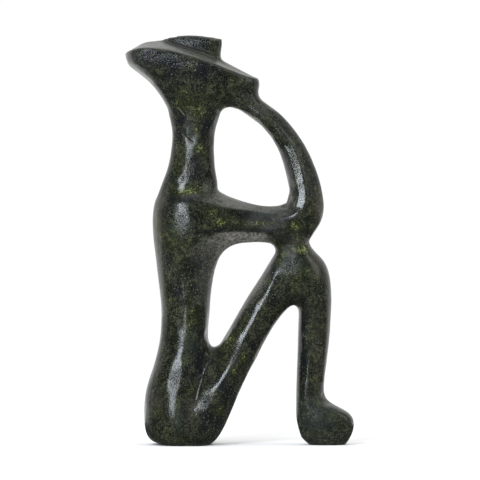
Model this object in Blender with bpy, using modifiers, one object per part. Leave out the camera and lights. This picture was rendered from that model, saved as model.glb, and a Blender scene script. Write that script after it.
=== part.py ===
"""A seated figurine in the Cycladic manner, carved from one block of dark green stone.

It sits on the ground with one raised knee. Its elbow rests on the knee, its hand holds its chin, and its
flat face with a wedge for a nose looks up. The figure is one solid with two windows through it, and it is
the same on both sides. +X is the way the figure faces, +Z is up, and the origin is under its middle.

The surface is a coarse cage of four-sided faces, half of the figure, mirrored and subdivided. Every point
below is a point of the finished surface: the cage is drawn out until the smooth surface passes through it.
"""

import bmesh
import bpy

# Real sizes in metres: the height, and how wide each part of the body is from side to side.
HEIGHT = 0.250
SOLE_WIDTH = 0.040
SEAT_WIDTH = 0.048
WAIST_WIDTH = 0.034
SHOULDER_WIDTH = 0.042
NECK_WIDTH = 0.025
HEAD_WIDTH = 0.042
CHIN_WIDTH = 0.019
NOSE_WIDTH = 0.011
ARM_WIDTH = 0.025
ELBOW_WIDTH = 0.028
WRIST_WIDTH = 0.018
PROP_WIDTH = 0.021
THIGH_WIDTH = 0.029
KNEE_WIDTH = 0.030
SHIN_WIDTH = 0.021
FOOT_WIDTH = 0.023
FOOT_SOLE_WIDTH = 0.019

# The profile is drawn on a grid of this size, so that it keeps its proportions at any height.
GRID = HEIGHT / 250

SMOOTHING_LEVELS = 2
DRAWING_OUT_STEPS = 8
MOST_TRIANGLES = 9400
SOFT_RIDGE = 0.30
FIRM_RIDGE = 0.55
SHARP_EDGE = 1.0

STONE_COLOUR = (0.030, 0.036, 0.024, 1.0)
STONE_ROUGHNESS = 0.32


class Cage:
    """The near half of the figure, whose open edge lies in the plane between its two sides."""

    def __init__(self):
        self.points = []
        self.faces = []
        self.ridges = {}

    def point(self, x, z, depth=0.0):
        """Adds a point of the profile, at a depth in metres in front of the middle plane."""
        self.points.append((x * GRID, -depth, z * GRID))
        return len(self.points) - 1

    def section(self, start, end, width, along, swell):
        """Adds the points of a cut through a limb, from edge to edge: along and swell place the others."""
        row = [self.point(*start)]
        for share, fullness in zip(along, swell):
            x = start[0] + (end[0] - start[0]) * share
            z = start[1] + (end[1] - start[1]) * share
            row.append(self.point(x, z, fullness * width / 2))
        return row + [self.point(*end)]

    def face(self, *corners):
        self.faces.append(corners)

    def skin(self, row, next_row):
        """Joins two rows of points with faces. None marks a point that a row leaves out."""
        for a, b, c, d in zip(row, row[1:], next_row[1:], next_row):
            if None not in (a, b, c, d):
                self.face(a, b, c, d)

    def skin_rows(self, rows):
        for row, next_row in zip(rows, rows[1:]):
            self.skin(row, next_row)

    def crease(self, line, sharpness):
        """Keeps a line of points as a ridge."""
        for a, b in zip(line, line[1:]):
            self.ridges[frozenset((a, b))] = sharpness

    def column(self, rows, place):
        return [row[place] for row in rows]


def between(first, second, share):
    return first + (second - first) * share


def seat(cage):
    """The block that the trunk and the thigh grow from, as rows of seven points from the sole up."""
    low = (0.10, 0.36, 0.53, 0.69, 0.90)
    high = (0.10, 0.34, 0.54, 0.75, 0.92)
    even = (0.72, 1.0, 0.98, 0.97, 0.70)
    grooved = (0.66, 0.94, 0.84, 0.93, 0.62)
    outline = [
        ((-47.0, 0), (-17.6, 0), SOLE_WIDTH, low, even),
        ((-56.0, 4.6), (-12.4, 5.5), between(SOLE_WIDTH, SEAT_WIDTH, 0.7), low, even),
        ((-58.3, 17), (-6.5, 17), SEAT_WIDTH, low, even),
        ((-57.6, 31), (-0.6, 31), SEAT_WIDTH, high, grooved),
    ]
    rows = [cage.section(back, front, width, along, swell) for back, front, width, along, swell in outline]
    half = SEAT_WIDTH / 2
    rows.append(
        [
            cage.point(-53.6, 45),
            cage.point(-48.5, 45, 0.60 * half),
            cage.point(-35.5, 45, 0.85 * half),
            cage.point(-21.5, 44.5, 0.62 * half),
            cage.point(-8.0, 44, 0.86 * half),
            cage.point(0.5, 43.5, 0.58 * half),
            cage.point(5.3, 43.5),
        ]
    )
    cage.skin_rows(rows)
    sole = rows[0]
    middle = [cage.point(x, 0) for x in (-38.5, -32, -25.5)]
    cage.face(sole[0], sole[1], sole[2], middle[0])
    cage.face(middle[0], sole[2], sole[3], middle[1])
    cage.face(middle[1], sole[3], sole[4], middle[2])
    cage.face(middle[2], sole[4], sole[5], sole[6])
    cage.crease(sole, SHARP_EDGE)
    return rows[-1]


def trunk(cage, crotch):
    """The trunk from the crotch to the armpit, as rows from the back to the front."""
    outline = [
        ((-48.5, 66.5), (-19.3, 66), between(SEAT_WIDTH, WAIST_WIDTH, 0.94), (0.14, 0.50, 0.87)),
        ((-47.8, 79), (-18.5, 79), WAIST_WIDTH, (0.14, 0.50, 0.86)),
        ((-48.5, 90), (-17.6, 90), WAIST_WIDTH, (0.13, 0.46, 0.79)),
        ((-49.9, 102), (-16.0, 102), WAIST_WIDTH, (0.12, 0.41, 0.70)),
        ((-51.3, 114), (-12.0, 114.5), between(WAIST_WIDTH, SHOULDER_WIDTH, 0.38), (0.11, 0.38, 0.63)),
    ]
    half = between(SEAT_WIDTH, WAIST_WIDTH, 0.8) / 2
    first = [
        cage.point(-50.5, 55.5),
        cage.point(-46.0, 55.5, 0.66 * half),
        cage.point(-34.5, 55.5, half),
        cage.point(-22.5, 55.0, 0.75 * half),
        crotch,
    ]
    rows = [first]
    for back, front, width, along in outline:
        rows.append(cage.section(back, front, width, along, (0.68, 1.0, 0.80)))
    cage.skin_rows(rows)
    cage.crease(cage.column(rows[2:], 3), SOFT_RIDGE)
    cage.crease(cage.column(rows[2:], 1), SOFT_RIDGE)
    return rows


def shoulder_and_neck(cage, chest):
    """The shoulder, open where the arm leaves it, and the neck up to the head."""
    half = SHOULDER_WIDTH / 2
    upper_arm = [
        cage.point(-53.2, 131),
        cage.point(-47.8, 131.5, 0.66 * half),
        cage.point(-34.5, 132.0, half),
        cage.point(-23.5, 131.0, 0.95 * half),
        None,
    ]
    top = [
        cage.point(-52.5, 145.5),
        cage.point(-47.3, 146.0, 0.62 * half),
        cage.point(-37.0, 147.3, 0.87 * half),
        cage.point(-22.5, 148.3, 0.83 * half),
        cage.point(-12.3, 154.7),
    ]
    outline = [
        ((-49.8, 153.2), (-13.4, 158.0), between(SHOULDER_WIDTH, NECK_WIDTH, 0.76), 0.44),
        ((-46.7, 161.5), (-14.2, 164.0), between(SHOULDER_WIDTH, NECK_WIDTH, 0.88), 0.45),
        ((-43.5, 171), (-15.3, 173), between(SHOULDER_WIDTH, NECK_WIDTH, 0.93), 0.49),
        ((-41.2, 186), (-15.4, 186), NECK_WIDTH, 0.53),
        ((-41.9, 195), (-14.2, 194.5), 1.02 * NECK_WIDTH, 0.51),
        ((-43.4, 202), (-12.1, 201.0), 1.06 * NECK_WIDTH, 0.48),
    ]
    swell = (0.68, 1.0, 0.70)
    neck = [
        cage.section(back, front, width, (0.14, ridge, 0.84), swell) for back, front, width, ridge in outline
    ]
    cage.skin_rows([chest, upper_arm, top, *neck])
    cage.crease([top[1], top[2], top[3]], SOFT_RIDGE)
    cage.crease([chest[1], upper_arm[1], top[1]], SOFT_RIDGE)
    return [top[4], top[3], upper_arm[3], chest[3], chest[4]], neck


def arm(cage, root):
    """The arm from the shoulder, round the elbow and up to the wrist, from inner edge to outer edge."""
    half = between(ARM_WIDTH, SHOULDER_WIDTH, 0.55) / 2
    armpit = [
        cage.point(-4.5, 150.9),
        cage.point(-11.5, 145.3, 0.90 * half),
        cage.point(-13.0, 137.5, half),
        cage.point(-15.0, 128.0, 0.87 * half),
        cage.point(-4.5, 121.1),
    ]
    flat = (0.92, 1.0, 0.92)
    upper = [
        cage.section((4, 148), (4, 123.1), 1.06 * ARM_WIDTH, (0.20, 0.46, 0.72), flat),
        cage.section((13, 145.9), (13, 123.3), ARM_WIDTH, (0.19, 0.46, 0.72), flat),
        cage.section((21.5, 145.6), (20.0, 121.8), 1.07 * ARM_WIDTH, (0.20, 0.46, 0.72), flat),
    ]
    half = ELBOW_WIDTH / 2
    elbow = [
        cage.point(26.3, 146.7),
        cage.point(29.0, 141.8, 0.82 * half),
        cage.point(31.5, 136.5, half),
        cage.point(33.5, 129.5, 0.86 * half),
        None,
    ]
    outline = [
        ((29.0, 149.6), (45.0, 128.1), ELBOW_WIDTH, (0.27, 0.46, 0.78)),
        ((29.9, 156), (50.3, 137.5), between(ELBOW_WIDTH, WRIST_WIDTH, 0.15), (0.29, 0.50, 0.80)),
        ((29.0, 162), (51.3, 149.5), between(ELBOW_WIDTH, WRIST_WIDTH, 0.35), (0.25, 0.49, 0.80)),
        ((26.6, 171.5), (48.0, 164), between(ELBOW_WIDTH, WRIST_WIDTH, 0.55), (0.27, 0.50, 0.80)),
        ((22.4, 182), (40.3, 182), between(ELBOW_WIDTH, WRIST_WIDTH, 0.75), (0.31, 0.48, 0.80)),
        ((14.3, 193.2), (28.3, 198.4), between(ELBOW_WIDTH, WRIST_WIDTH, 0.92), (0.30, 0.52, 0.80)),
        ((5.2, 200.7), (18.0, 207.2), WRIST_WIDTH, (0.18, 0.47, 0.80)),
    ]
    forearm = [
        cage.section(inner, outer, width, along, (0.89, 1.0, 0.60)) for inner, outer, width, along in outline
    ]
    rows = [root, armpit, *upper, elbow, *forearm]
    cage.skin_rows(rows)
    cage.crease(cage.column(rows[:5], 1), FIRM_RIDGE)
    cage.crease(cage.column(rows[:5], 3), FIRM_RIDGE)
    cage.crease(cage.column(forearm[:-1], 1), FIRM_RIDGE)
    cage.crease(cage.column(forearm, 2), FIRM_RIDGE)
    under_elbow = [upper[-1][4], upper[-1][3], elbow[3], forearm[0][3], forearm[0][4]]
    return forearm[-1], under_elbow


def thigh_and_shin(cage, crotch):
    """The leg from the crotch, round the knee and down to the ankle, from upper edge to lower edge."""
    half = between(SEAT_WIDTH, THIGH_WIDTH, 0.53) / 2
    hip = [
        crotch,
        cage.point(-10.6, 56.3, 0.70 * half),
        cage.point(-2.2, 55.0, half),
        cage.point(5.4, 52.6, 0.74 * half),
        cage.point(10.0, 52.3),
    ]
    outline = [
        ((-10.9, 63.2), (13.6, 59.6), between(SEAT_WIDTH, THIGH_WIDTH, 0.66), (0.17, 0.51, 0.81)),
        ((-6.0, 71.5), (18.3, 68), between(SEAT_WIDTH, THIGH_WIDTH, 0.80), (0.17, 0.50, 0.81)),
        ((0.5, 82.8), (23.0, 75.4), between(SEAT_WIDTH, THIGH_WIDTH, 0.93), (0.17, 0.47, 0.80)),
        ((7.2, 93.8), (27.2, 80.7), THIGH_WIDTH, (0.16, 0.43, 0.80)),
        ((13.5, 103.6), (30.0, 83.4), THIGH_WIDTH, (0.15, 0.40, 0.80)),
        ((20.0, 114.2), (31.5, 84.4), KNEE_WIDTH, (0.14, 0.38, 0.80)),
    ]
    swell = (0.76, 1.0, 0.76)
    thigh = [cage.section(upper, lower, width, along, swell) for upper, lower, width, along in outline]
    half = KNEE_WIDTH / 2
    knee = [
        None,
        cage.point(33.3, 111, 0.88 * half),
        cage.point(33.3, 102, 1.02 * half),
        cage.point(33.0, 92, 0.82 * half),
        cage.point(33.0, 84.8),
    ]
    outline = [
        ((46.6, 117.4), (34.7, 84.0), KNEE_WIDTH),
        ((53.2, 109), (35.9, 80.8), between(KNEE_WIDTH, SHIN_WIDTH, 0.1)),
        ((56.0, 94), (35.7, 72.5), between(KNEE_WIDTH, SHIN_WIDTH, 0.44)),
        ((55.7, 76), (35.5, 63), between(KNEE_WIDTH, SHIN_WIDTH, 0.72)),
        ((54.1, 57.5), (35.1, 52), SHIN_WIDTH),
        ((52.2, 43), (34.7, 40), SHIN_WIDTH),
    ]
    shin = [cage.section(front, back, width, (0.19, 0.55, 0.84), swell) for front, back, width in outline]
    rows = [hip, *thigh, knee, *shin]
    cage.skin_rows(rows)
    cage.crease(cage.column(rows[:6], 2), FIRM_RIDGE)
    cage.crease(cage.column(shin[1:], 3), SOFT_RIDGE)
    return hip, shin[-1], [thigh[-1][0], thigh[-1][1], knee[1], shin[0][1], shin[0][0]]


def foot(cage, ankle):
    """The short foot, whose instep slopes down to a blunt toe."""
    outline = [
        ((51.5, 34), (34.4, 30.5), between(SHIN_WIDTH, FOOT_WIDTH, 0.25), (0.19, 0.55, 0.84)),
        ((53.6, 27.3), (34.4, 22), between(SHIN_WIDTH, FOOT_WIDTH, 0.75), (0.17, 0.52, 0.82)),
        ((61.5, 22.4), (34.8, 14.5), FOOT_WIDTH, (0.13, 0.48, 0.82)),
        ((69.0, 16.3), (36.3, 8.5), FOOT_WIDTH, (0.10, 0.45, 0.83)),
        ((68.8, 7.0), (38.0, 4.0), FOOT_WIDTH, (0.10, 0.45, 0.83)),
        ((64.6, 0), (42.3, 0), FOOT_SOLE_WIDTH, (0.12, 0.48, 0.86)),
    ]
    swell = (0.78, 1.0, 0.80)
    rows = [cage.section(front, heel, width, along, swell) for front, heel, width, along in outline]
    cage.skin_rows([ankle, *rows])
    sole = rows[-1]
    middle = cage.point(53.5, 0)
    cage.face(sole[0], sole[1], sole[2], middle)
    cage.face(middle, sole[2], sole[3], sole[4])
    cage.crease(sole, SHARP_EDGE)


def prop(cage, under_elbow, over_knee):
    """The narrow waist of stone by which the elbow rests on the knee."""
    half = PROP_WIDTH / 2
    waist = [
        cage.point(21.7, 118),
        cage.point(25.8, 119, 0.78 * half),
        cage.point(33.3, 120.6, half),
        cage.point(39.6, 121.9, 0.80 * half),
        cage.point(43.1, 122.6),
    ]
    cage.skin_rows([under_elbow, waist, over_knee])


def head(cage, neck_top, wrist):
    """The thick wedge of the head, tilted back, with the chin in the hand."""
    window_top = cage.point(-6.0, 205.8)
    half = NECK_WIDTH / 2
    nape = [
        cage.point(-45.2, 207.5),
        cage.point(-42.0, 207.5, 0.76 * half),
        cage.point(-31.5, 208, 1.12 * half),
        cage.point(-19.5, 208, 1.02 * half),
        window_top,
    ]
    half = WRIST_WIDTH / 2
    hand = [
        window_top,
        cage.point(0.0, 208.2, 0.83 * half),
        cage.point(5.3, 209.8, 1.07 * half),
        cage.point(10.2, 211.0, 0.78 * half),
        cage.point(12.6, 211.6),
    ]
    cage.skin(neck_top, nape)
    cage.skin(wrist, hand)
    half = HEAD_WIDTH / 2
    under = [
        cage.point(-54.3, 220.3),
        cage.point(-50.0, 220.3, 0.56 * half),
        cage.point(-36.0, 218.5, 0.82 * half),
        cage.point(-14.0, 216.5, 0.71 * half),
        cage.point(-1.5, 215.5, 0.57 * half),
        cage.point(7.5, 215.5, 0.40 * half),
        cage.point(11.6, 216.0),
    ]
    cage.skin(nape[:3], under[:3])
    cage.face(nape[2], nape[3], under[3], under[2])
    cage.face(nape[3], window_top, hand[1], under[3])
    cage.skin(hand[1:], under[3:])
    chin = CHIN_WIDTH / 2
    lower_rim = [
        cage.point(-67.3, 231.0),
        cage.point(-62.0, 232.0, 0.88 * half),
        cage.point(-45.0, 229.0, 0.97 * half),
        cage.point(-22.0, 225.5, 0.88 * half),
        cage.point(-5.0, 221.5, 0.68 * half),
        cage.point(7.0, 219.2, chin),
        cage.point(12.1, 219.4),
    ]
    upper_rim = [
        cage.point(-70.0, 238.8),
        cage.point(-62.5, 240.8, 0.88 * half),
        cage.point(-46.5, 240.2, half),
        cage.point(-25.0, 235.0, 0.91 * half),
        cage.point(-6.5, 228.3, 0.66 * half),
        cage.point(7.2, 223.7, 0.9 * chin),
        cage.point(11.6, 223.2),
    ]
    cage.skin_rows([under, lower_rim, upper_rim])
    face_and_nose(cage, upper_rim)
    cage.crease(upper_rim, FIRM_RIDGE)
    cage.crease(lower_rim[:4], SOFT_RIDGE)


def face_and_nose(cage, rim):
    """The bare, slightly arched face inside the rim, and the wedge of the nose on its middle line."""
    half = HEAD_WIDTH / 2
    cheek = [
        cage.point(-63.0, 242.9),
        cage.point(-58.5, 243.1, 0.48 * half),
        cage.point(-46.5, 243.3, 0.56 * half),
        cage.point(-25.5, 238.0, 0.50 * half),
        cage.point(-9.0, 231.3, 0.38 * half),
        cage.point(3.0, 226.5, 0.21 * half),
        cage.point(6.0, 225.9),
    ]
    brow = cage.point(-50.0, 246.7)
    half = NOSE_WIDTH / 2
    bridge = cage.point(-32.0, 249.92)
    tip = cage.point(-11.0, 247.6)
    bridge_foot = cage.point(-31.0, 241.0, 0.75 * half)
    bridge_side = cage.point(-30.8, 248.6, 0.34 * half)
    nostril = cage.point(-13.2, 236.4, half)
    tip_side = cage.point(-12.2, 246.4, 0.42 * half)
    lip = cage.point(-10.8, 234.8)
    cage.skin(rim, cheek)
    cage.face(cheek[0], cheek[1], cheek[2], brow)
    cage.face(brow, cheek[2], cheek[3], bridge_foot)
    cage.face(bridge_foot, cheek[3], cheek[4], nostril)
    cage.face(nostril, cheek[4], cheek[5], lip)
    cage.face(lip, cheek[5], cheek[6])
    cage.face(brow, bridge_foot, bridge_side, bridge)
    cage.face(bridge_side, tip_side, tip, bridge)
    cage.face(bridge_foot, nostril, tip_side, bridge_side)
    cage.face(nostril, lip, tip, tip_side)
    cage.crease([brow, bridge_side, tip_side, nostril], FIRM_RIDGE)
    cage.crease([brow, bridge_foot, nostril, lip], FIRM_RIDGE)
    cage.crease([tip_side, tip, lip], FIRM_RIDGE)


def figure_cage():
    """The whole half of the figure."""
    cage = Cage()
    lap = seat(cage)
    crotch = cage.point(-15.4, 59.6)
    trunk_rows = trunk(cage, crotch)
    hip, ankle, over_knee = thigh_and_shin(cage, crotch)
    waist = trunk_rows[0]
    cage.skin(lap[:4], waist[:4])
    cage.skin(lap[4:], hip[2:])
    cage.face(lap[3], lap[4], hip[2], hip[1])
    cage.face(lap[3], hip[1], crotch, waist[3])
    arm_root, neck = shoulder_and_neck(cage, trunk_rows[-1])
    wrist, under_elbow = arm(cage, arm_root)
    prop(cage, under_elbow, over_knee)
    foot(cage, ankle)
    head(cage, neck[-1], wrist)
    return cage


def mesh_of(cage):
    mesh = bpy.data.meshes.new("seated_figure")
    mesh.from_pydata(cage.points, [], cage.faces)
    shaped = bmesh.new()
    shaped.from_mesh(mesh)
    bmesh.ops.recalc_face_normals(shaped, faces=shaped.faces)
    sharpness = shaped.edges.layers.float.new("crease_edge")
    for edge in shaped.edges:
        edge[sharpness] = cage.ridges.get(frozenset(v.index for v in edge.verts), 0.0)
    shaped.to_mesh(mesh)
    shaped.free()
    mesh.shade_smooth()
    return mesh


def stone():
    material = bpy.data.materials.new("green_stone")
    material.use_nodes = True
    shader = material.node_tree.nodes["Principled BSDF"]
    shader.inputs["Base Color"].default_value = STONE_COLOUR
    shader.inputs["Roughness"].default_value = STONE_ROUGHNESS
    shader.inputs["Metallic"].default_value = 0.0
    return material


def draw_out(figure):
    """Moves each point of the cage until the smooth surface passes through the place where it is drawn."""
    wanted = [vertex.co.copy() for vertex in figure.data.vertices]
    for _ in range(DRAWING_OUT_STEPS):
        bpy.context.view_layer.update()
        smooth = figure.evaluated_get(bpy.context.evaluated_depsgraph_get()).data
        misses = [place - smooth.vertices[i].co for i, place in enumerate(wanted)]
        for vertex, miss in zip(figure.data.vertices, misses):
            vertex.co += miss
        figure.data.update()


def main():
    for old in list(bpy.data.objects):
        bpy.data.objects.remove(old)
    cage = figure_cage()
    figure = bpy.data.objects.new("seated_figure", mesh_of(cage))
    figure.data.materials.append(stone())
    collection = bpy.data.collections.new("seated_figurine")
    bpy.context.scene.collection.children.link(collection)
    collection.objects.link(figure)

    mirror = figure.modifiers.new("other_half", "MIRROR")
    mirror.use_axis = (False, True, False)
    mirror.use_clip = True
    mirror.merge_threshold = 0.0001
    smooth = figure.modifiers.new("smooth", "SUBSURF")
    smooth.levels = SMOOTHING_LEVELS
    smooth.render_levels = SMOOTHING_LEVELS
    draw_out(figure)

    bpy.context.view_layer.update()
    triangles = 2 * len(figure.evaluated_get(bpy.context.evaluated_depsgraph_get()).data.polygons)
    fewer = figure.modifiers.new("fewer_faces", "DECIMATE")
    fewer.ratio = min(1.0, MOST_TRIANGLES / triangles)
    fewer.use_symmetry = True
    fewer.symmetry_axis = "Y"


main()
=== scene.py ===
"""The seated figurine as polished dark green stone, on a pale floor in soft studio light."""

import math

import bmesh
import bpy
import numpy as np
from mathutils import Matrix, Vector, noise


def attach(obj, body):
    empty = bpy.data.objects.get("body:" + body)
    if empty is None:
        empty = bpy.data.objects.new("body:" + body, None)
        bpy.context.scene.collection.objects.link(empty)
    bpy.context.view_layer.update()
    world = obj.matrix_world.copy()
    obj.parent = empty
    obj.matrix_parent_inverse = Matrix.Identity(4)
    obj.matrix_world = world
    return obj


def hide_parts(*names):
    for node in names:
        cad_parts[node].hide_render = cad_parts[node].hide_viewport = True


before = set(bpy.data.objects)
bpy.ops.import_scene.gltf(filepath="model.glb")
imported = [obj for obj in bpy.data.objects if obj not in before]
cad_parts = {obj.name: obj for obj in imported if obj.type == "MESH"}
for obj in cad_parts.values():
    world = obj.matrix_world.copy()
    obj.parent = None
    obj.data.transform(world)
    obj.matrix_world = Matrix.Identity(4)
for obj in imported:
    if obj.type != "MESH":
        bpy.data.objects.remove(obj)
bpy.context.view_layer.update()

NODE = "seated_figure"
MM = 0.001

# The fine surface: the size of its cells, and how it is smoothed before the carving goes on. Each pass
# smooths and then swells the form again by a little more, which keeps its size.
WELD_DISTANCE = 1e-6
CELL = 0.92 * MM
SMOOTHING_PASSES = 30
SMOOTHING_STEP = 0.5
SWELLING_STEP = -0.53
# What lies lower than this isn't raised by the carving, and the lowest part of it is laid on the ground.
SOLE_BLEND = 0.5 * MM
FLAT_SOLE = 0.25 * MM

# Hand carving: small planes left by the rasp and the polishing stone.
SEED = 11
PLANES = 460
PLANE_DEPTH = (0.03 * MM, 0.15 * MM)
PLANE_REACH = (4.0 * MM, 10.0 * MM)
PLANE_TILT = 0.015
# A plane only cuts what faces its own way, and it fades out near the rim of its reach.
SAME_FACING = 0.7
RIM_STEEPNESS = 1.4
# The share of a forearm plane's reach that the small planes leave alone.
SPARED_SHARE = 0.8
# A plane for one side of the figure leaves the stone alone as far as this from the middle.
OWN_SIDE = 4 * MM
# The thin nose is only smoothed: no plane is cut into it.
NOSE_BOX = ((-53 * MM, -7 * MM, 236 * MM), (-8 * MM, 7 * MM, 260 * MM))

# A slight waviness: the height and width of its bumps, broad ones first.
WAVES = ((0.07 * MM, 11 * MM), (0.02 * MM, 4.5 * MM))
NOISE_SPREAD = 1.6
NOISE_SHIFT = (13.1, 7.7, 3.3)

# Planes cut on purpose, where the stone shows a flat gleam: x and z in millimetres, how far the plane
# turns to the left and up in degrees, its reach and its depth in millimetres.
FOREARM_PLANES = (
    (24.0, 184.5, 12, 1, 4.5, 0.38),
    (27.5, 181.8, 12, 1, 5.5, 0.45),
    (30.3, 178.5, 12, 1, 6.5, 0.50),
    (32.3, 174.5, 12, 2, 6.5, 0.45),
    (34.0, 170.3, 12, 2, 6.0, 0.40),
    (35.3, 166.0, 12, 3, 6.0, 0.35),
    (36.4, 162.0, 12, 4, 6.0, 0.30),
    (37.2, 157.5, 12, 4, 6.0, 0.30),
    (37.7, 153.0, 12, 6, 6.0, 0.30),
    (37.4, 149.0, 12, 10, 5.0, 0.25),
    (36.5, 145.5, 12, 14, 5.0, 0.25),
)
GLEAMING_PLANES = FOREARM_PLANES + (
    # On the neck, either side of its bright line.
    (-30.0, 190.0, 0, -3, 9.0, 0.50),
    (-35.0, 173.5, 22, 2, 6.0, 0.30),
    (-26.5, 171.0, 2, 2, 6.5, 0.30),
    (-35.5, 162.8, 14, 2, 4.5, 0.30),
    # On the shoulder.
    (-35.0, 137.0, 12, 8, 6.0, 0.35),
    # Down the trunk and the seat.
    (-35.5, 92.0, 20, -2, 10.0, 0.30),
    (-35.5, 78.0, 20, 1, 10.0, 0.30),
    (-40.5, 38.0, 12, 12, 9.0, 0.55),
    (-37.5, 49.0, 11, 11, 8.0, 0.35),
    (-20.5, 27.5, 13, 12, 7.0, 0.60),
)

# A short cut in the near side of the neck, from x, z to x, z, and its half-width, all in millimetres.
NECK_CUT = ((-33.4, 188.4), (-28.4, 184.6), 0.45)

# Creases scored into the stone: the two ends, the half-width and the depth in millimetres, and whether
# the far side has one too.
CREASES = (
    ((-20.6, 58.0), (-22.6, 44.0), 1.5, 1.0, True),
    ((-22.6, 44.0), (-27.0, 28.0), 1.5, 0.8, True),
    ((28.6, 123.0), (28.6, 116.0), 0.9, 0.35, True),
    ((-21.0, 130.8), (6.0, 130.8), 1.0, 0.30, True),
    ((6.0, 130.8), (24.0, 128.5), 1.0, 0.30, True),
    ((44.5, 26.0), (50.0, 21.5), 1.2, 0.35, True),
    (NECK_CUT[0], NECK_CUT[1], 0.9, 0.35, False),
)
# A crease only sinks into what faces its side at least this much.
SIDE_FACING = 0.25

# The photograph's frame: the width that it shows at the figure, and the middle of the picture.
FRAME_WIDTH = 293.3 * MM
VIEW_CENTRE = Vector((0.2 * MM, 0.0, 124.8 * MM))
CAMERA_DISTANCE = 2.4
SENSOR = 36.0

# The white room. The floor lies a hair below the soles.
ROOM_GLOW = 1.03
FLOOR_WIDTH = 60.0
FLOOR_WHITE = (0.98, 0.98, 0.98)
FLOOR_DROP = 0.0002
# A ring of cards round the figure, for the polish to mirror: dark on the camera's side, and pale behind.
# The first stands just to the right of the camera, and the others follow to the right, behind and back.
CARD_GLOWS = (0.010, 0.010, 0.02, 0.12, 0.50, 0.80, 0.90, 0.90, 0.80, 0.40, 0.08, 0.010, 0.010, 0.010)
CARD_DISTANCE = 1.6
CARD_HEIGHT = 3.2
RING_MIDDLE = Vector((0.0, 0.0, 1.5))
# A dark card on the floor before the figure.
FLOOR_CARD_GLOW = 0.05
FLOOR_CARD_SIZE = (4.4, 1.80)
FLOOR_CARD_PLACE = Vector((0.0, -0.66, 0.0))
# Lamps: azimuth and elevation in degrees, distance, width and height, power and tint.
KEY = (-24, 21, 0.95, (0.12, 0.62), 6.5, (0.86, 0.93, 1.0))
SIDE = (66, 32, 1.2, (0.5, 0.7), 1.5, (0.96, 0.98, 1.0))


def add(name, data):
    """A new object in the scene, made of the given data."""
    thing = bpy.data.objects.new(name, data)
    bpy.context.scene.collection.objects.link(thing)
    return thing


def smoothed(points, edges, passes, keep_size=True):
    """The points after smoothing along the edges. With keep_size, wide forms don't shrink."""
    first, second = edges.T
    count = len(points)
    neighbours = np.bincount(first, minlength=count) + np.bincount(second, minlength=count)
    neighbours = np.maximum(neighbours, 1)[:, None]
    steps = (SMOOTHING_STEP, SWELLING_STEP) if keep_size else (SMOOTHING_STEP,)
    for _ in range(passes):
        for step in steps:
            total = np.empty_like(points)
            for k in range(3):
                total[:, k] = np.bincount(first, points[second, k], count)
                total[:, k] += np.bincount(second, points[first, k], count)
            points = points + step * (total / neighbours - points)
    return points


def coordinates(mesh):
    points = np.empty(len(mesh.vertices) * 3)
    mesh.vertices.foreach_get("co", points)
    return points.reshape(-1, 3)


def normals(mesh):
    directions = np.empty(len(mesh.vertices) * 3, np.float32)
    mesh.vertex_normals.foreach_get("vector", directions)
    return directions.reshape(-1, 3).astype(float)


def edge_ends(mesh):
    ends = np.empty(len(mesh.edges) * 2, np.int32)
    mesh.edges.foreach_get("vertices", ends)
    return ends.reshape(-1, 2)


def set_coordinates(mesh, points):
    mesh.vertices.foreach_set("co", points.ravel())
    mesh.update()


def noise_at(points, size, seed):
    """Smooth noise from about -1 to 1 whose bumps are size metres wide."""
    shift = Vector(NOISE_SHIFT) * seed
    return np.array([noise.noise(Vector(p) / size + shift) for p in points]) * NOISE_SPREAD


def fine_copy_of_the_stone():
    """The CAD solid as a fine, even mesh with its flat triangles smoothed away."""
    welded = bmesh.new()
    welded.from_mesh(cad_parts[NODE].data)
    bmesh.ops.remove_doubles(welded, verts=welded.verts, dist=WELD_DISTANCE)
    mesh = bpy.data.meshes.new("carved_figure")
    welded.to_mesh(mesh)
    welded.free()
    figure = add("carved_figure", mesh)
    remesh = figure.modifiers.new("even_cells", "REMESH")
    remesh.mode = "VOXEL"
    remesh.voxel_size = CELL
    bpy.context.view_layer.update()
    even = bpy.data.meshes.new_from_object(figure.evaluated_get(bpy.context.evaluated_depsgraph_get()))
    figure.modifiers.clear()
    figure.data = even
    bpy.data.meshes.remove(mesh)
    set_coordinates(even, smoothed(coordinates(even), edge_ends(even), SMOOTHING_PASSES))
    return figure


def cut_plane(points, directions, centre, facing, reach, depth, allowed):
    """Takes off what stands above a plane that lies depth below centre, fading out towards reach."""
    facing = facing / np.linalg.norm(facing)
    away = np.linalg.norm(points - centre, axis=1)
    near = np.nonzero((away < reach) & allowed)[0]
    near = near[(directions[near] @ facing) > SAME_FACING]
    above = np.maximum((points[near] - centre) @ facing + depth, 0.0)
    fade = np.clip(RIM_STEEPNESS * (1.0 - away[near] / reach), 0.0, 1.0)
    points[near] -= (above * fade)[:, None] * facing


def pared(points, directions, rng):
    """Cuts flat planes into the surface, as a rasp does, each a little below the round form."""
    spared = ((points > NOSE_BOX[0]) & (points < NOSE_BOX[1])).all(axis=1)
    for plane in GLEAMING_PLANES:
        x, z, left, up, reach, depth = plane
        for side in (-1, 1):
            own_side = points[:, 1] * side > OWN_SIDE
            away = np.hypot(points[:, 0] - x * MM, points[:, 2] - z * MM) + 1.0 * ~own_side
            turn = Vector((-math.tan(math.radians(left)), side, math.tan(math.radians(up))))
            centre = points[np.argmin(away)].copy()
            cut_plane(points, directions, centre, np.array(turn), reach * MM, depth * MM, own_side)
            if plane in FOREARM_PLANES:
                spared |= np.linalg.norm(points - centre, axis=1) < SPARED_SHARE * reach * MM
    for i in rng.choice(np.nonzero(~spared)[0], PLANES, replace=False):
        reach = rng.uniform(*PLANE_REACH)
        depth = rng.uniform(*PLANE_DEPTH)
        facing = directions[i] + rng.normal(0.0, PLANE_TILT, 3)
        cut_plane(points, directions, points[i].copy(), facing, reach, depth, ~spared)
    return points


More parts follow.
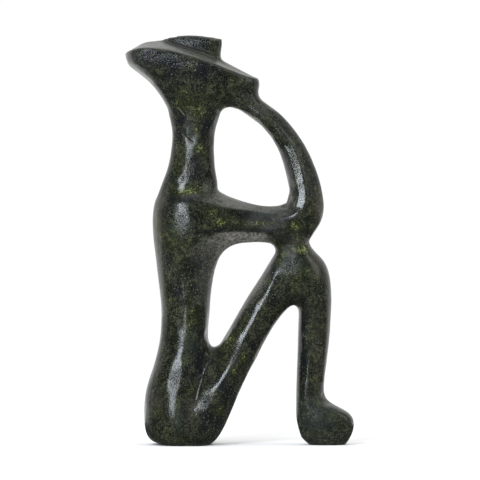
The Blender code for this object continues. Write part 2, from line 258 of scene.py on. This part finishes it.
def scored(points, directions):
    """Sinks the creases into the near side, and most of them into the far side too."""
    flat = points[:, [0, 2]] / MM
    for begin, end, half_width, depth, both_sides in CREASES:
        along = np.subtract(end, begin)
        offset = flat - begin
        share = np.clip(offset @ along / (along @ along), 0.0, 1.0)
        away = np.linalg.norm(offset - share[:, None] * along, axis=1)
        sideways = np.abs(directions[:, 1]) if both_sides else -directions[:, 1]
        sink = depth * MM * np.exp(-((away / half_width) ** 2)) * (sideways > SIDE_FACING)
        points = points - sink[:, None] * directions
    return points


def carve(figure):
    """Gives the smooth stone its hand-worked surface and puts its soles back on the ground."""
    mesh = figure.data
    rng = np.random.default_rng(SEED)
    points = coordinates(mesh)
    soles = points[:, 2] < SOLE_BLEND
    worked = scored(pared(points.copy(), normals(mesh), rng), normals(mesh))
    waviness = sum(height * noise_at(worked, width, i + 1) for i, (height, width) in enumerate(WAVES))
    worked += normals(mesh) * waviness[:, None]
    worked = smoothed(worked, edge_ends(mesh), 1, keep_size=False)
    worked[:, 2] = np.where(soles, np.minimum(worked[:, 2], points[:, 2]), worked[:, 2])
    worked[:, 2] = np.where(worked[:, 2] < FLAT_SOLE, 0.0, worked[:, 2])
    set_coordinates(mesh, worked)
    mesh.shade_smooth()


def keep(mesh, name, values):
    """Stores one number a vertex for the material to read."""
    attribute = mesh.attributes.new(name, "FLOAT", "POINT")
    attribute.data.foreach_set("value", np.clip(values, 0.0, 1.0).astype(np.float32))


# Places of marks in the plane of the profile, in millimetres: x, z, half-width, half-height and strength.
# The stone's own moss green lumps come first, and then painted shade: near-black places under ledges and
# the head's rim, in creases and beside the bright facets.
GREEN_PATCHES = (
    (-26.1, 191.4, 2.2, 4.0, 0.9),
    (-24.9, 179.8, 5.0, 3.5, 0.8),
    (-24.9, 203.0, 5.0, 6.0, 0.8),
    (-30.4, 207.9, 7.0, 5.0, 0.6),
    (-31.0, 154.8, 8.5, 3.2, 1.0),
    (-37.7, 167.6, 2.5, 5.0, 0.45),
    (11.8, 134.9, 13.0, 2.6, 0.8),
    (-11.4, 135.8, 6.0, 3.0, 0.85),
    (-16.9, 141.9, 6.0, 4.0, 0.5),
    (33.8, 133.4, 5.0, 4.0, 0.75),
    (37.5, 119.0, 7.0, 3.6, 1.0),
    (25.8, 117.5, 3.0, 5.0, 0.8),
    (-12.6, 60.1, 6.0, 5.0, 0.6),
    (2.0, 53.3, 2.2, 2.8, 1.0),
    (-3.5, 46.0, 2.2, 2.8, 0.9),
    (-12.0, 21.6, 2.2, 3.2, 0.9),
    (-49.3, 20.3, 2.8, 3.4, 0.7),
    (-37.7, 3.2, 6.0, 2.2, 0.6),
    (-46.9, 127.9, 3.0, 10.0, 0.35),
    (-39.5, 124.8, 7.0, 6.0, 0.45),
    (9.3, 88.2, 4.0, 5.0, 0.35),
    (44.2, 69.8, 2.5, 14.0, 0.35),
    (47.8, 7.5, 7.0, 3.0, 0.5),
    (-41.4, 242.1, 3.0, 2.0, 0.5),
    (-17.0, 55.5, 3.5, 3.0, 0.9),
    (-6.5, 64.5, 4.0, 8.0, 0.8),
    (3.0, 79.0, 3.0, 6.0, 0.5),
    (-46.0, 95.0, 5.0, 16.0, 0.35),
    (-30.0, 78.0, 4.0, 14.0, 0.35),
    (-27.0, 32.0, 4.0, 6.0, 0.4),
    (36.0, 104.0, 6.0, 7.0, 0.4),
)
PAINTED_SHADE_PATCHES = (
    (-54.8, 236.6, 9.0, 3.5, 0.9),
    (-39.5, 232.4, 9.0, 4.0, 0.9),
    (-24.3, 227.5, 8.0, 4.0, 0.7),
    (-35.9, 198.1, 3.0, 3.0, 0.8),
    (-21.2, 193.3, 4.0, 6.0, 0.8),
    (-27.6, 172.5, 3.0, 9.0, 0.95),
    (-32.2, 149.9, 10.0, 2.2, 1.0),
    (15.5, 140.5, 15.0, 3.4, 1.0),
    (27.1, 138.3, 4.0, 2.4, 1.0),
    (-5.9, 130.3, 16.0, 1.3, 1.0),
    (13.6, 130.3, 12.0, 1.2, 1.0),
    (28.9, 127.3, 6.0, 4.0, 0.8),
    (-24.3, 51.5, 2.6, 10.0, 1.0),
    (-9.6, 35.0, 4.0, 9.0, 0.9),
    (-16.3, 14.8, 8.0, 5.0, 0.6),
    (18.5, 106.5, 4.0, 5.0, 0.6),
    (38.7, 69.8, 2.0, 30.0, 0.8),
    (-27.3, 244.0, 8.0, 4.0, 0.4),
    (29.5, 167.6, 1.6, 12.0, 0.8),
    (33.4, 152.3, 1.6, 6.0, 0.9),
)
# Painted sheen: a blue-green tone on facets that turn up towards the light.
PAINTED_SHEEN_PATCHES = (
    (30.1, 108.9, 7.0, 5.5, 0.9),
    (-37.7, 17.0, 3.5, 9.0, 0.6),
    (-37.7, 131.5, 6.0, 4.0, 0.6),
    (-30.4, 193.0, 3.5, 6.0, 0.6),
    (47.0, 18.0, 12.0, 12.0, 0.7),
    (-30.0, 60.0, 5.0, 8.0, 0.4),
    (-46.0, 108.0, 4.0, 10.0, 0.5),
)
# Grey-brown places: partly the stone's own brown, and partly painted rim light along the outer edges.
BROWN_AND_RIM_LIGHT_PATCHES = (
    (-29.1, 22.8, 4.0, 8.0, 0.6),
    (34.4, 124.8, 5.0, 4.0, 0.5),
    (-50.0, 27.0, 4.0, 6.0, 0.3),
    (47.5, 60.0, 4.0, 20.0, 0.3),
    (49.0, 148.0, 3.5, 13.0, 1.0),
    (46.5, 112.0, 4.0, 8.0, 0.7),
    (-51.0, 134.0, 4.5, 20.0, 1.0),
)
# Better polished places, and places that the polishing left matt.
POLISHED_PATCHES = (
    (31.0, 178.0, 8.0, 10.0, 0.9),
    (36.0, 157.0, 8.0, 12.0, 1.0),
    (-20.0, 26.0, 6.0, 6.0, 0.7),
    (-62.0, 237.5, 3.0, 3.0, 0.7),
    (3.0, 58.0, 5.0, 12.0, 0.7),
)
MATT_PATCHES = (
    (-24.5, 172.0, 4.0, 12.0, 0.4),
    (15.0, 137.0, 12.0, 9.0, 1.0),
    (30.0, 118.5, 5.0, 4.5, 0.9),
    (-30.0, 186.0, 5.0, 8.0, 0.25),
    (-34.5, 136.0, 5.0, 9.0, 0.10),
)
# Pitted places, where the polish breaks up into bright and dark specks.
PITTED_PATCHES = (
    (-57.0, 237.0, 9.0, 3.0, 1.0),
    (-44.0, 234.5, 10.0, 3.0, 1.0),
    (-31.0, 230.5, 9.0, 3.0, 0.8),
    (-30.0, 247.0, 12.0, 3.0, 0.5),
    (29.5, 108.5, 6.5, 5.5, 1.0),
    (16.0, 137.0, 9.0, 8.0, 0.6),
    (12.4, 203.6, 5.0, 3.5, 0.9),
    (-2.9, 54.6, 4.0, 10.0, 0.6),
    (-19.0, 27.0, 5.0, 6.0, 0.8),
    (-30.0, 168.0, 3.0, 10.0, 0.8),
    (-39.0, 40.0, 5.0, 10.0, 0.4),
    (32.0, 172.0, 4.0, 12.0, 0.5),
    (47.0, 18.0, 6.0, 8.0, 0.5),
    (-35.0, 135.0, 6.0, 8.0, 0.5),
)
# How far the far side's patches stray from the near side's, in millimetres, and how far the patches of
# either side run on past the middle.
FAR_SIDE_SHIFT = 4.0
MIDDLE_OVERLAP = 2 * MM
# A thread of lighter stone in the neck, from end to end, with its half-width.
NECK_THREAD = ((-37.4, 205.4), (-33.8, 201.0), 0.55)

# Hollows and edges: how often the form is smoothed to find them, how far it then has to move, and over
# what span they grow to their full strength. Then how far up a surface has to face to count as facing up,
# and over what span.
HOLLOW_PASSES = 60
HOLLOW_FROM = -0.15 * MM
HOLLOW_SPAN = 0.55 * MM
EDGE_PASSES = 8
EDGE_FROM = 0.05 * MM
EDGE_SPAN = 0.20 * MM
FACING_UP_FROM = 0.62
FACING_UP_SPAN = 0.30

# The pale walls inside the openings, partly unpolished stone and partly painted reflection of the white
# floor
# and room: the axis that they face, as x and z in millimetres, how far from it they end and over what span,
# and how squarely they face it.
ARCH_AXIS = (-3.0, 98.0)
ARCH_END = 38 * MM
ARCH_FACING = 0.50
WINDOW_AXIS = (6.0, 172.0)
WINDOW_END = 42 * MM
WINDOW_FACING = 0.55
END_SPAN = 5 * MM
FACING_STEEPNESS = 4.0
# The arch's wall and its painted reflection grow paler up the trunk, end before the knee and fade towards
# the back.
ARCH_FOOT = 78 * MM
ARCH_RISE = 48 * MM
KNEE_START = 22 * MM
KNEE_SPAN = 8 * MM
BACK_EDGE = -32 * MM
BACK_SPAN = 22 * MM
BACK_STRENGTH = 0.3
# The window's wall lies low, along the arm, and is fainter.
SILL_TOP = 157 * MM
SILL_SPAN = 8 * MM
SILL_STRENGTH = 0.40


def patches(points, places, rng):
    """The strength of a set of patches at each point. The far side has its own, moved a little."""
    total = np.zeros(len(points))
    for side in (-1, 1):
        for x, z, half_width, half_height, strength in places:
            shift = (0.0, 0.0) if side < 0 else rng.normal(0.0, FAR_SIDE_SHIFT, 2)
            dx = (points[:, 0] / MM - (x + shift[0])) / half_width
            dz = (points[:, 2] / MM - (z + shift[1])) / half_height
            fall = np.exp(-(dx * dx + dz * dz))
            total = np.maximum(total, strength * fall * (points[:, 1] * side > -MIDDLE_OVERLAP))
    return total


def mark(figure):
    """Works out where the stone is hollow, edged, facing up, green, painted with shade or sheen and so on,
    for the material.
    """
    mesh = figure.data
    rng = np.random.default_rng(SEED + 1)
    points = coordinates(mesh)
    directions = normals(mesh)
    edges = edge_ends(mesh)
    broad = ((smoothed(points, edges, HOLLOW_PASSES, keep_size=False) - points) * directions).sum(axis=1)
    tight = ((smoothed(points, edges, EDGE_PASSES, keep_size=False) - points) * directions).sum(axis=1)
    keep(mesh, "hollow", (broad - HOLLOW_FROM) / HOLLOW_SPAN)
    keep(mesh, "edge", (-tight - EDGE_FROM) / EDGE_SPAN)
    marks = {
        "green": GREEN_PATCHES,
        "painted_shade": PAINTED_SHADE_PATCHES,
        "painted_sheen": PAINTED_SHEEN_PATCHES,
        "brown_and_rim_light": BROWN_AND_RIM_LIGHT_PATCHES,
        "polish": POLISHED_PATCHES,
        "matt": MATT_PATCHES,
        "pitted": PITTED_PATCHES,
    }
    for name, places in marks.items():
        keep(mesh, name, patches(points, places, rng))
    keep(mesh, "facing_up", (directions[:, 2] - FACING_UP_FROM) / FACING_UP_SPAN)
    keep(mesh, "wall_and_reflection", np.maximum(arch_wall_and_reflection(points, directions), window_wall_and_reflection(points, directions)))


def pale_wall(points, directions, axis, end, least_facing):
    """Where the stone faces an axis from side to side and lies near it, from 0 to 1."""
    inward = np.array([axis[0] * MM, 0.0, axis[1] * MM]) - points
    inward[:, 1] = 0.0
    distance = np.linalg.norm(inward, axis=1)
    facing = (inward * directions).sum(axis=1) / np.maximum(distance, 1e-9)
    near = np.clip((end - distance) / END_SPAN, 0.0, 1.0)
    return np.clip((facing - least_facing) * FACING_STEEPNESS, 0.0, 1.0) * near


def arch_wall_and_reflection(points, directions):
    """The rough wall under the arm, pale partly from painted reflection, darker down the trunk."""
    height = np.clip((points[:, 2] - ARCH_FOOT) / ARCH_RISE, 0.0, 1.0)
    before_knee = np.clip((KNEE_START - points[:, 0]) / KNEE_SPAN, 0.0, 1.0)
    under_arm = np.clip((points[:, 0] - BACK_EDGE) / BACK_SPAN, BACK_STRENGTH, 1.0)
    pale = pale_wall(points, directions, ARCH_AXIS, ARCH_END, ARCH_FACING)
    return pale * height * before_knee * under_arm


def window_wall_and_reflection(points, directions):
    """The wall of the window along the top of the arm, pale partly from painted reflection."""
    low = np.clip((SILL_TOP - points[:, 2]) / SILL_SPAN, 0.0, 1.0)
    return SILL_STRENGTH * pale_wall(points, directions, WINDOW_AXIS, WINDOW_END, WINDOW_FACING) * low


class Shader:
    """Builds a material's nodes with short calls that each give back a socket."""

    def __init__(self, name):
        self.material = bpy.data.materials.new(name)
        self.material.use_nodes = True
        self.tree = self.material.node_tree
        self.surface = self.tree.nodes["Principled BSDF"]

    def put(self, socket, value):
        if isinstance(value, bpy.types.NodeSocket):
            self.tree.links.new(value, socket)
        elif isinstance(value, tuple) and len(value) == 3 and socket.type == "RGBA":
            socket.default_value = (*value, 1.0)
        else:
            socket.default_value = value

    def place(self):
        return self.tree.nodes.new("ShaderNodeTexCoord").outputs["Object"]

    def stretched(self, scale):
        node = self.tree.nodes.new("ShaderNodeMapping")
        self.put(node.inputs["Vector"], self.place())
        node.inputs["Scale"].default_value = scale
        return node.outputs["Vector"]

    def texture(self, kind, size, place=None):
        """A texture node whose pattern is about size metres wide."""
        node = self.tree.nodes.new(kind)
        self.put(node.inputs["Vector"], place or self.place())
        node.inputs["Scale"].default_value = 1.0 / size
        return node

    def noise(self, size, detail=3.0, roughness=0.55, distortion=0.0, place=None):
        node = self.texture("ShaderNodeTexNoise", size, place)
        node.inputs["Detail"].default_value = detail
        node.inputs["Roughness"].default_value = roughness
        node.inputs["Distortion"].default_value = distortion
        return node.outputs["Fac"]

    def bent(self, size, reach):
        """The place, bent this way and that by up to reach metres, for a pattern with wandering lines."""
        node = self.texture("ShaderNodeTexNoise", size)
        shift = self.vector("SUBTRACT", node.outputs["Color"], (0.5, 0.5, 0.5))
        step = self.vector("SCALE", shift.outputs["Vector"])
        step.inputs["Scale"].default_value = reach
        return self.vector("ADD", self.place(), step.outputs["Vector"]).outputs["Vector"]

    def cells(self, size, feature="F1", place=None):
        """How far a point lies from the middle of its cell, or from the cell's edge."""
        node = self.texture("ShaderNodeTexVoronoi", size, place)
        node.feature = feature
        return node.outputs["Distance"]

    def stored(self, name):
        """A number that keep stored on the mesh."""
        node = self.tree.nodes.new("ShaderNodeAttribute")
        node.attribute_name = name
        return node.outputs["Fac"]

    def ramp(self, value, low, high, start=0.0, end=1.0):
        """Maps low..high to start..end, held at both ends, with a soft shoulder."""
        node = self.tree.nodes.new("ShaderNodeMapRange")
        node.interpolation_type = "SMOOTHSTEP"
        numbers = {"Value": value, "From Min": low, "From Max": high, "To Min": start, "To Max": end}
        for name, number in numbers.items():
            self.put(node.inputs[name], number)
        return node.outputs["Result"]

    def maths(self, operation, first, second=0.0, clamp=False):
        node = self.tree.nodes.new("ShaderNodeMath")
        node.operation = operation
        node.use_clamp = clamp
        self.put(node.inputs[0], first)
        self.put(node.inputs[1], second)
        return node.outputs["Value"]

    def times(self, first, second):
        return self.maths("MULTIPLY", first, second)

    def plus(self, first, second):
        return self.maths("ADD", first, second)

    def mix(self, amount, first, second):
        node = self.tree.nodes.new("ShaderNodeMix")
        node.data_type = "RGBA"
        self.put(node.inputs["Factor"], amount)
        self.put(node.inputs["A"], first)
        self.put(node.inputs["B"], second)
        return node.outputs["Result"]

    def near_line(self, start, end, half_width):
        """1 on a line across the near side, given in millimetres, and 0 beyond half_width of it."""
        begin = Vector((start[0] * MM, 0.0, start[1] * MM))
        along = Vector((end[0] * MM, 0.0, end[1] * MM)) - begin
        flat = self.vector("MULTIPLY", self.place(), (1.0, 0.0, 1.0)).outputs["Vector"]
        offset = self.vector("SUBTRACT", flat, tuple(begin)).outputs["Vector"]
        share = self.vector("DOT_PRODUCT", offset, tuple(along / along.length_squared)).outputs["Value"]
        share = self.maths("MINIMUM", self.maths("MAXIMUM", share, 0.0), 1.0)
        step = self.vector("SCALE", tuple(along))
        self.put(step.inputs["Scale"], share)
        away = self.vector("DISTANCE", offset, step.outputs["Vector"]).outputs["Value"]
        near_side = self.vector("DOT_PRODUCT", self.place(), (0.0, -1.0, 0.0)).outputs["Value"]
        near_side = self.maths("GREATER_THAN", near_side)
        return self.times(self.ramp(away, 0.0, half_width * MM, 1.0, 0.0), near_side)

    def vector(self, operation, first, second=None):
        node = self.tree.nodes.new("ShaderNodeVectorMath")
        node.operation = operation
        self.put(node.inputs[0], first)
        if second is not None:
            self.put(node.inputs[1], second)
        return node

    def bump(self, height, distance, strength=1.0, under=None):
        node = self.tree.nodes.new("ShaderNodeBump")
        node.inputs["Strength"].default_value = strength
        node.inputs["Distance"].default_value = distance
        self.put(node.inputs["Height"], height)
        if under is not None:
            self.put(node.inputs["Normal"], under)
        return node.outputs["Normal"]


# The stone's colours: its ground and the marks in it, and painted shade, sheen, rim light and reflection.
GREEN_BLACK = (0.0045, 0.0060, 0.0036)
BLUE_BLACK = (0.0052, 0.0064, 0.0074)
OLIVE = (0.0420, 0.0450, 0.0270)
# Painted sheen: blue-green, where facets turn up towards the light.
PAINTED_SHEEN_COLOUR = (0.0380, 0.0480, 0.0430)
# Grey-brown: partly the stone's own brown, and partly painted rim light on the outer edges.
BROWN_AND_RIM_LIGHT = (0.0620, 0.0550, 0.0430)
# Painted shade: near-black for places under ledges and the head's rim, in creases and beside bright facets.
PAINTED_SHADE_COLOUR = (0.0060, 0.0072, 0.0105)
DEEP_MOSS = (0.024, 0.032, 0.007)
MOSS = (0.055, 0.072, 0.010)
PALE_MOSS = (0.120, 0.140, 0.045)
DOT = (0.130, 0.140, 0.085)
THREAD = (0.090, 0.100, 0.042)
CRACK = (0.0025, 0.0025, 0.0020)
NECK_THREAD_COLOUR = (0.080, 0.090, 0.045)
# The walls in the openings: dark pits, and a pale tone that is partly unpolished stone and partly painted
# reflection of the white floor and room.
WALL_PIT = (0.030, 0.030, 0.024)
WALL_AND_REFLECTION = (0.215, 0.206, 0.182)
UPWARD_PALE = (0.100, 0.104, 0.084)
# Painted shade for the hollows.
PAINTED_HOLLOW_SHADE = (0.0075, 0.0085, 0.0045)
WORN_EDGE = (0.060, 0.066, 0.055)
CUT = (0.003, 0.003, 0.003)
# How the polish mirrors.
STONE_IOR = 1.52
STONE_SHEEN = 0.03
SHEEN_ROUGHNESS = 0.35


def serpentine():
    """Dark green stone: near-black ground, olive mottling, mossy flecks and a waxed, grainy polish, with
    painted shade, sheen, rim light and reflection in its colour.
    """
    shader = Shader("serpentine")
    green, painted_shade, painted_sheen, brown_and_rim_light = (shader.stored(name) for name in ("green", "painted_shade", "painted_sheen", "brown_and_rim_light"))
    polish, matt, wall_and_reflection, facing_up = (shader.stored(name) for name in ("polish", "matt", "wall_and_reflection", "facing_up"))
    hollow, edge, pitted = (shader.stored(name) for name in ("hollow", "edge", "pitted"))
    broad = shader.noise(17 * MM, detail=2.0)
    cloud = shader.noise(6.0 * MM, detail=4.0, distortion=0.6)
    mottle = shader.noise(1.1 * MM, detail=6.0, roughness=0.80)
    lump = shader.noise(1.4 * MM, detail=3.0, roughness=0.65, distortion=0.4)
    grain = shader.noise(0.50 * MM, detail=3.0, roughness=0.7)

    # The ground, its olive mottling, which is left out under the painted shade, and its larger marks:
    # painted sheen, brown with painted rim light, and painted shade.
    outside_painted_shade = shader.maths("SUBTRACT", 1.0, shader.times(painted_shade, 0.9))
    ground = shader.mix(shader.ramp(broad, 0.40, 0.60), GREEN_BLACK, BLUE_BLACK)
    mixed = shader.plus(mottle, shader.times(cloud, 0.35))
    colour = shader.mix(shader.times(shader.ramp(mixed, 0.60, 0.86), outside_painted_shade), ground, OLIVE)
    for amount, strength, coat in ((painted_sheen, 0.55, PAINTED_SHEEN_COLOUR), (brown_and_rim_light, 0.60, BROWN_AND_RIM_LIGHT), (painted_shade, 0.60, PAINTED_SHADE_COLOUR)):
        colour = shader.mix(shader.times(amount, strength), colour, coat)

    # Mossy flecks, thick in the green places and thin elsewhere.
    own = shader.times(shader.ramp(cloud, 0.48, 0.68, 0.0, 0.30), outside_painted_shade)
    patchy = shader.maths("ADD", own, shader.times(green, 0.85), clamp=True)
    bar = shader.ramp(patchy, 0.0, 1.0, 0.66, 0.46)
    fleck = shader.ramp(shader.maths("SUBTRACT", lump, bar), 0.0, 0.09)
    fleck = shader.times(fleck, shader.ramp(patchy, 0.0, 0.6, 0.40, 1.0))
    colour = shader.mix(shader.times(green, 0.50), colour, DEEP_MOSS)
    colour = shader.mix(fleck, colour, shader.mix(shader.ramp(grain, 0.35, 0.65), MOSS, PALE_MOSS))

    # Pale dots, wandering threads, dark cracks and the thread in the neck.
    dots = shader.ramp(shader.cells(2.1 * MM), 0.08, 0.19, 0.85, 0.0)
    dots = shader.times(dots, shader.ramp(broad, 0.42, 0.60, 0.25, 1.0))
    colour = shader.mix(dots, colour, DOT)
    swirl = shader.noise(4.5 * MM, detail=3.0, distortion=1.2)
    thread = shader.maths("ABSOLUTE", shader.maths("SUBTRACT", swirl, 0.5))
    thread = shader.ramp(thread, 0.004, 0.014, 0.60, 0.0)
    thread = shader.times(thread, shader.ramp(cloud, 0.46, 0.60))
    colour = shader.mix(thread, colour, THREAD)
    crack = shader.cells(7.0 * MM, "DISTANCE_TO_EDGE", place=shader.bent(3.0 * MM, 3.0 * MM))
    crack = shader.ramp(crack, 0.006, 0.022, 0.80, 0.0)
    crack = shader.times(crack, shader.ramp(broad, 0.44, 0.54))
    colour = shader.mix(crack, colour, CRACK)
    colour = shader.mix(shader.near_line(*NECK_THREAD), colour, NECK_THREAD_COLOUR)

    # A fine grain over all of it.
    tone = shader.vector("SCALE", colour)
    shader.put(tone.inputs["Scale"], shader.ramp(grain, 0.3, 0.7, 0.40, 1.65))
    colour = tone.outputs["Vector"]

    # The unpolished walls, pale partly as painted reflection, and a paler tone on what faces up, but not in
    # the hollows.
    streaks = shader.noise(1.2 * MM, detail=5.0, roughness=0.75, place=shader.stretched((1.0, 0.45, 1.0)))
    colour = shader.mix(wall_and_reflection, colour, shader.mix(shader.ramp(streaks, 0.38, 0.60), WALL_PIT, WALL_AND_REFLECTION))
    upward_pale = shader.times(facing_up, shader.ramp(streaks, 0.36, 0.62, 0.25, 0.75))
    upward_pale = shader.times(upward_pale, shader.ramp(hollow, 0.45, 0.9, 1.0, 0.0))
    colour = shader.mix(upward_pale, colour, UPWARD_PALE)

    # Painted shade in the hollows, wear along the edges, and the cut in the neck.
    colour = shader.mix(shader.ramp(hollow, 0.55, 1.0, 0.0, 0.55), colour, PAINTED_HOLLOW_SHADE)
    colour = shader.mix(shader.times(edge, 0.20), colour, WORN_EDGE)
    cut = shader.near_line(*NECK_CUT)
    colour = shader.mix(shader.times(cut, 0.9), colour, CUT)
    shader.put(shader.surface.inputs["Base Color"], colour)

    # How rough the polish is: more so on walls, on what faces up, in matt places, hollows and flecks.
    rough = shader.ramp(mottle, 0.35, 0.7, 0.12, 0.24)
    for amount, strength in ((wall_and_reflection, 0.25), (facing_up, 0.12), (matt, 0.55)):
        rough = shader.plus(rough, shader.times(amount, strength))
    rough = shader.plus(rough, shader.ramp(hollow, 0.5, 1.0, 0.0, 0.10))
    rough = shader.plus(rough, shader.times(fleck, 0.12))
    rough = shader.maths("SUBTRACT", rough, shader.times(polish, 0.07))
    shader.put(shader.surface.inputs["Roughness"], rough)
    shader.surface.inputs["IOR"].default_value = STONE_IOR
    shader.surface.inputs["Sheen Weight"].default_value = STONE_SHEEN
    shader.surface.inputs["Sheen Roughness"].default_value = SHEEN_ROUGHNESS

    # The finest relief, each layer on the last: waves, pits, the cut, grain and the specks of pitted places.
    relief = shader.bump(shader.noise(2.6 * MM, detail=2.0), 0.06 * MM)
    relief = shader.bump(shader.ramp(shader.cells(2.6 * MM), 0.02, 0.13), 0.16 * MM, 0.8, relief)
    relief = shader.bump(shader.maths("SUBTRACT", 1.0, cut), 0.30 * MM, under=relief)
    relief = shader.bump(shader.noise(0.90 * MM, detail=4.0, roughness=0.75), 0.085 * MM, under=relief)
    specks = shader.noise(1.1 * MM, detail=3.0, roughness=0.7)
    relief = shader.bump(shader.times(specks, pitted), 0.70 * MM, under=relief)
    shader.put(shader.surface.inputs["Normal"], relief)
    return shader.material


def matt_white():
    """The floor's material, which mirrors nothing."""
    shader = Shader("floor")
    shader.put(shader.surface.inputs["Base Color"], FLOOR_WHITE)
    shader.surface.inputs["Roughness"].default_value = 1.0
    shader.surface.inputs["Specular IOR Level"].default_value = 0.0
    return shader.material


def glowing(name, strength):
    """An even grey light, for a card that the stone mirrors."""
    material = bpy.data.materials.new(name)
    material.use_nodes = True
    tree = material.node_tree
    tree.nodes.clear()
    glow = tree.nodes.new("ShaderNodeEmission")
    glow.inputs["Strength"].default_value = strength
    output = tree.nodes.new("ShaderNodeOutputMaterial")
    tree.links.new(glow.outputs["Emission"], output.inputs["Surface"])
    return material


def sheet(name, width, height, centre, facing, material):
    """A flat rectangle that faces a point."""
    mesh = bpy.data.meshes.new(name)
    corners = [(sx * width / 2, sy * height / 2, 0.0) for sx, sy in ((-1, -1), (1, -1), (1, 1), (-1, 1))]
    mesh.from_pydata(corners, [], [(0, 1, 2, 3)])
    mesh.materials.append(material)
    card = add(name, mesh)
    card.location = centre
    card.rotation_euler = (facing - centre).to_track_quat("Z", "Y").to_euler()
    return card


def hide_from_camera(card):
    """Only the stone's polish sees this card."""
    card.visible_camera = False
    card.visible_shadow = False
    card.visible_diffuse = False


def softbox(name, azimuth, elevation, distance, size, power, tint):
    """A rectangular lamp aimed at the figure. Azimuth 0 is the camera's side, and 90 is to its right."""
    a, e = math.radians(azimuth), math.radians(elevation)
    towards = Vector((math.sin(a) * math.cos(e), -math.cos(a) * math.cos(e), math.sin(e)))
    lamp = bpy.data.lights.new(name, "AREA")
    lamp.shape = "RECTANGLE"
    lamp.size, lamp.size_y = size
    lamp.energy = power
    lamp.color = tint
    holder = add(name, lamp)
    holder.location = VIEW_CENTRE + towards * distance
    holder.rotation_euler = (-towards).to_track_quat("-Z", "Y").to_euler()


def studio():
    """A white room with a pale floor, a strip light at the upper left and cards for the stone to mirror."""
    world = bpy.data.worlds.new("white_room")
    world.use_nodes = True
    background = world.node_tree.nodes["Background"]
    background.inputs["Color"].default_value = (1.0, 1.0, 1.0, 1.0)
    background.inputs["Strength"].default_value = ROOM_GLOW
    bpy.context.scene.world = world

    up = Vector((0.0, 0.0, 1.0))
    sheet("floor", FLOOR_WIDTH, FLOOR_WIDTH, -FLOOR_DROP * up, up, matt_white())
    glows = {glow: glowing(f"card_glow_{i}", glow) for i, glow in enumerate(sorted(set(CARD_GLOWS)))}
    turn = 2 * math.pi / len(CARD_GLOWS)
    width = 2 * CARD_DISTANCE * math.tan(turn / 2)
    for i, glow in enumerate(CARD_GLOWS):
        a = turn * (i + 0.5)
        place = RING_MIDDLE + Vector((math.sin(a), -math.cos(a), 0.0)) * CARD_DISTANCE
        hide_from_camera(sheet(f"card_{i}", width, CARD_HEIGHT, place, RING_MIDDLE, glows[glow]))
    floor_glow = glowing("floor_card_glow", FLOOR_CARD_GLOW)
    place = FLOOR_CARD_PLACE
    hide_from_camera(sheet("floor_card", *FLOOR_CARD_SIZE, place, place + up, floor_glow))
    softbox("key", *KEY)
    softbox("side", *SIDE)


def camera():
    """A level camera square to the profile, with the photograph's frame."""
    data = bpy.data.cameras.new("camera")
    data.sensor_width = SENSOR
    data.lens = SENSOR * CAMERA_DISTANCE / FRAME_WIDTH
    holder = add("camera", data)
    holder.location = VIEW_CENTRE + Vector((0.0, -CAMERA_DISTANCE, 0.0))
    holder.rotation_euler = (math.radians(90), 0.0, 0.0)
    bpy.context.scene.camera = holder


camera()
studio()
figure = fine_copy_of_the_stone()
carve(figure)
mark(figure)
figure.data.materials.clear()
figure.data.materials.append(serpentine())
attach(figure, "root")
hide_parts(NODE)

bpy.context.scene.view_settings.view_transform = "Standard"
